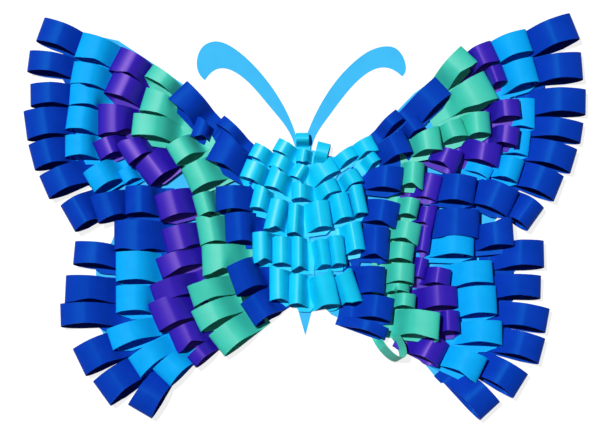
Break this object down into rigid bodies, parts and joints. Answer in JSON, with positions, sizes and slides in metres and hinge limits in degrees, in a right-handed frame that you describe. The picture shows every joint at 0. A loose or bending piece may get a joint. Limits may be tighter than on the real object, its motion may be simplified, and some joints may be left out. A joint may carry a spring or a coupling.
{
  "type": "quilled paper butterfly",
  "caption": "Butterfly wall decoration: strips of coloured paper bent into open loops, glued in overlapping rows on a cut card backing.",
  "frame": {"origin": "on the rear face of the backing card, on the line of the tail, between the wings", "axes": "+Z out of the front of the butterfly, +X to its right wing as seen from the front, +Y the way its head points"},
  "size_m": [0.4504, 0.3259, 0.0284],
  "materials": {
    "card": "pale sky-blue matt card",
    "navy_paper": "smooth coloured paper",
    "sky_paper": "smooth coloured paper",
    "violet_paper": "smooth coloured paper",
    "green_paper": "smooth coloured paper",
    "cyan_paper": "smooth coloured paper"
  },
  "bodies": {
    "root": {"backing_card": "card", "left_rim_lower": "navy_paper", "left_rim_upper": "navy_paper", "left_waist": "navy_paper", "left_sky_lower": "sky_paper", "left_sky_upper": "sky_paper", "left_sky_pressed": "sky_paper", "left_violet_lower": "violet_paper", "left_violet_upper": "violet_paper", "left_green_lower": "green_paper", "left_green_upper": "green_paper", "left_small": "navy_paper", "left_inner": "navy_paper", "right_rim_lower": "navy_paper", "right_rim_upper": "navy_paper", "right_waist": "navy_paper", "right_sky_lower": "sky_paper", "right_sky_upper": "sky_paper", "right_sky_pressed": "sky_paper", "right_violet_lower": "violet_paper", "right_violet_pressed": "violet_paper", "right_violet_upper": "violet_paper", "right_green_lower": "green_paper", "right_green_upper": "green_paper", "right_small": "navy_paper", "right_inner": "navy_paper", "left_body_lower": "cyan_paper", "right_body_lower": "cyan_paper", "left_body_upper": "cyan_paper", "right_body_upper": "cyan_paper", "head": "cyan_paper", "hanging_loop": "green_paper"}
  },
  "joints": []
}
